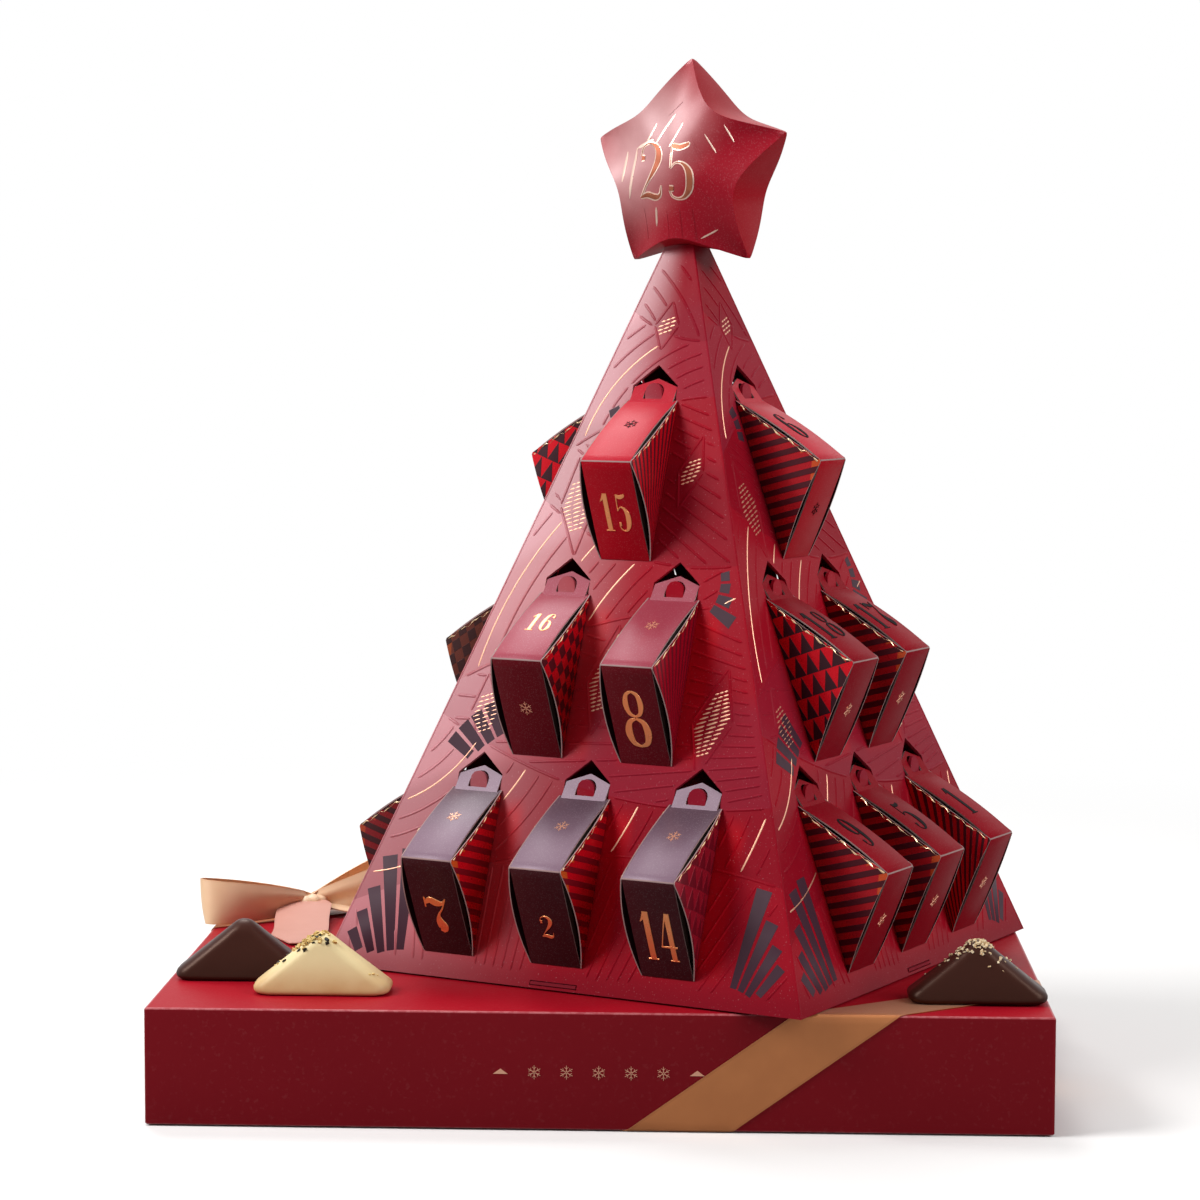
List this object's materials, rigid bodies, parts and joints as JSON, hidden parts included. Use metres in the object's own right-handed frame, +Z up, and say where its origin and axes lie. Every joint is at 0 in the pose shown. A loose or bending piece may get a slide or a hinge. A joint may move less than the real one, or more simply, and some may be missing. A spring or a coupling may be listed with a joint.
{
  "type": "chocolate advent calendar",
  "caption": "Card pyramid tree with numbered praline boxes hooked on its faces and a puffed star on its tip, standing on a flat gift box tied with a satin ribbon.",
  "frame": {"origin": "centre of the gift box's underside", "axes": "+X to the right along the gift box's long side, +Y away from the front, +Z up"},
  "size_m": [0.319, 0.2616, 0.3713],
  "materials": {
    "board_lid": "satin laminated greyboard, dark crimson",
    "board_inner": "matte paper-covered greyboard",
    "tree_card": "pearlescent crimson card with pressed lines and copper foil",
    "star_card": "pearlescent crimson card with pressed lines and copper foil",
    "card_crimson": "satin card, crimson, copper foil number",
    "card_mauve": "satin card, mauve maroon, copper foil number",
    "card_plum": "satin card, dark plum, copper foil number",
    "grey_card": "uncoated grey card",
    "ribbon": "copper satin",
    "chocolate_dark": "smooth dark chocolate, soft gloss",
    "chocolate_white": "smooth white chocolate, soft gloss"
  },
  "bodies": {
    "gift_box": {"gift_tray": "board_inner", "gift_lid": "board_lid", "ribbon_wrap": "ribbon", "ribbon_bow": "ribbon"},
    "tree": {"tree_shell": "tree_card", "tree_floor": "grey_card", "star_tongue": "card_crimson"},
    "star": {"star_shell": "star_card", "star_praline": "chocolate_dark"},
    "drawer_07": {"box_07": "card_plum", "praline_07": "chocolate_dark"},
    "drawer_02": {"box_02": "card_plum", "praline_02": "chocolate_dark"},
    "drawer_14": {"box_14": "card_plum", "praline_14": "chocolate_dark"},
    "drawer_16": {"box_16": "card_mauve", "praline_16": "chocolate_dark"},
    "drawer_08": {"box_08": "card_mauve", "praline_08": "chocolate_dark"},
    "drawer_15": {"box_15": "card_crimson", "praline_15": "chocolate_dark"},
    "drawer_09": {"box_09": "card_plum", "praline_09": "chocolate_dark"},
    "drawer_05": {"box_05": "card_plum", "praline_05": "chocolate_dark"},
    "drawer_01": {"box_01": "card_plum", "praline_01": "chocolate_dark"},
    "drawer_18": {"box_18": "card_mauve", "praline_18": "chocolate_dark"},
    "drawer_17": {"box_17": "card_mauve", "praline_17": "chocolate_dark"},
    "drawer_06": {"box_06": "card_crimson", "praline_06": "chocolate_dark"},
    "drawer_19": {"box_19": "card_plum", "praline_19": "chocolate_dark"},
    "drawer_21": {"box_21": "card_plum", "praline_21": "chocolate_dark"},
    "drawer_23": {"box_23": "card_plum", "praline_23": "chocolate_dark"},
    "drawer_04": {"box_04": "card_mauve", "praline_04": "chocolate_dark"},
    "drawer_13": {"box_13": "card_mauve", "praline_13": "chocolate_dark"},
    "drawer_10": {"box_10": "card_crimson", "praline_10": "chocolate_dark"},
    "drawer_20": {"box_20": "card_plum", "praline_20": "chocolate_dark"},
    "drawer_12": {"box_12": "card_plum", "praline_12": "chocolate_dark"},
    "drawer_22": {"box_22": "card_plum", "praline_22": "chocolate_dark"},
    "drawer_03": {"box_03": "card_mauve", "praline_03": "chocolate_dark"},
    "drawer_11": {"box_11": "card_mauve", "praline_11": "chocolate_dark"},
    "drawer_24": {"box_24": "card_crimson", "praline_24": "chocolate_dark"},
    "praline_dark_plain_loose": {"praline_dark_plain": "chocolate_dark"},
    "praline_white_pistachio_loose": {"praline_white_pistachio": "chocolate_white"},
    "praline_dark_nut_sprinkle_loose": {"praline_dark_nut_sprinkle": "chocolate_dark"}
  },
  "joints": [
    {"name": "tree_lift", "type": "slide", "parent": "gift_box", "child": "tree", "axis": [0, 0, 1], "range_m": [0, 0.06]},
    {"name": "star_lift", "type": "slide", "parent": "tree", "child": "star", "axis": [0, 0, 1], "range_m": [0, 0.025]},
    {"name": "box_07_pull", "type": "slide", "parent": "tree", "child": "drawer_07", "axis": [-0.4352, -0.8379, 0.3294], "range_m": [0, 0.02]},
    {"name": "box_02_pull", "type": "slide", "parent": "tree", "child": "drawer_02", "axis": [-0.4352, -0.8379, 0.3294], "range_m": [0, 0.02]},
    {"name": "box_14_pull", "type": "slide", "parent": "tree", "child": "drawer_14", "axis": [-0.4352, -0.8379, 0.3294], "range_m": [0, 0.02]},
    {"name": "box_16_pull", "type": "slide", "parent": "tree", "child": "drawer_16", "axis": [-0.4352, -0.8379, 0.3294], "range_m": [0, 0.02]},
    {"name": "box_08_pull", "type": "slide", "parent": "tree", "child": "drawer_08", "axis": [-0.4352, -0.8379, 0.3294], "range_m": [0, 0.02]},
    {"name": "box_15_pull", "type": "slide", "parent": "tree", "child": "drawer_15", "axis": [-0.4352, -0.8379, 0.3294], "range_m": [0, 0.02]},
    {"name": "box_09_pull", "type": "slide", "parent": "tree", "child": "drawer_09", "axis": [0.8379, -0.4352, 0.3294], "range_m": [0, 0.02]},
    {"name": "box_05_pull", "type": "slide", "parent": "tree", "child": "drawer_05", "axis": [0.8379, -0.4352, 0.3294], "range_m": [0, 0.02]},
    {"name": "box_01_pull", "type": "slide", "parent": "tree", "child": "drawer_01", "axis": [0.8379, -0.4352, 0.3294], "range_m": [0, 0.02]},
    {"name": "box_18_pull", "type": "slide", "parent": "tree", "child": "drawer_18", "axis": [0.8379, -0.4352, 0.3294], "range_m": [0, 0.02]},
    {"name": "box_17_pull", "type": "slide", "parent": "tree", "child": "drawer_17", "axis": [0.8379, -0.4352, 0.3294], "range_m": [0, 0.02]},
    {"name": "box_06_pull", "type": "slide", "parent": "tree", "child": "drawer_06", "axis": [0.8379, -0.4352, 0.3294], "range_m": [0, 0.02]},
    {"name": "box_19_pull", "type": "slide", "parent": "tree", "child": "drawer_19", "axis": [0.4352, 0.8379, 0.3294], "range_m": [0, 0.02]},
    {"name": "box_21_pull", "type": "slide", "parent": "tree", "child": "drawer_21", "axis": [0.4352, 0.8379, 0.3294], "range_m": [0, 0.02]},
    {"name": "box_23_pull", "type": "slide", "parent": "tree", "child": "drawer_23", "axis": [0.4352, 0.8379, 0.3294], "range_m": [0, 0.02]},
    {"name": "box_04_pull", "type": "slide", "parent": "tree", "child": "drawer_04", "axis": [0.4352, 0.8379, 0.3294], "range_m": [0, 0.02]},
    {"name": "box_13_pull", "type": "slide", "parent": "tree", "child": "drawer_13", "axis": [0.4352, 0.8379, 0.3294], "range_m": [0, 0.02]},
    {"name": "box_10_pull", "type": "slide", "parent": "tree", "child": "drawer_10", "axis": [0.4352, 0.8379, 0.3294], "range_m": [0, 0.02]},
    {"name": "box_20_pull", "type": "slide", "parent": "tree", "child": "drawer_20", "axis": [-0.8379, 0.4352, 0.3294], "range_m": [0, 0.02]},
    {"name": "box_12_pull", "type": "slide", "parent": "tree", "child": "drawer_12", "axis": [-0.8379, 0.4352, 0.3294], "range_m": [0, 0.02]},
    {"name": "box_22_pull", "type": "slide", "parent": "tree", "child": "drawer_22", "axis": [-0.8379, 0.4352, 0.3294], "range_m": [0, 0.02]},
    {"name": "box_03_pull", "type": "slide", "parent": "tree", "child": "drawer_03", "axis": [-0.8379, 0.4352, 0.3294], "range_m": [0, 0.02]},
    {"name": "box_11_pull", "type": "slide", "parent": "tree", "child": "drawer_11", "axis": [-0.8379, 0.4352, 0.3294], "range_m": [0, 0.02]},
    {"name": "box_24_pull", "type": "slide", "parent": "tree", "child": "drawer_24", "axis": [-0.8379, 0.4352, 0.3294], "range_m": [0, 0.02]},
    {"name": "praline_dark_plain_pick", "type": "slide", "parent": "gift_box", "child": "praline_dark_plain_loose", "axis": [-0.7071, 0, 0.7071], "range_m": [0, 0.03]},
    {"name": "praline_white_pistachio_pick", "type": "slide", "parent": "gift_box", "child": "praline_white_pistachio_loose", "axis": [0, -0.7071, 0.7071], "range_m": [0, 0.03]},
    {"name": "praline_dark_nut_sprinkle_pick", "type": "slide", "parent": "gift_box", "child": "praline_dark_nut_sprinkle_loose", "axis": [0.5, -0.5, 0.7071], "range_m": [0, 0.03]}
  ]
}
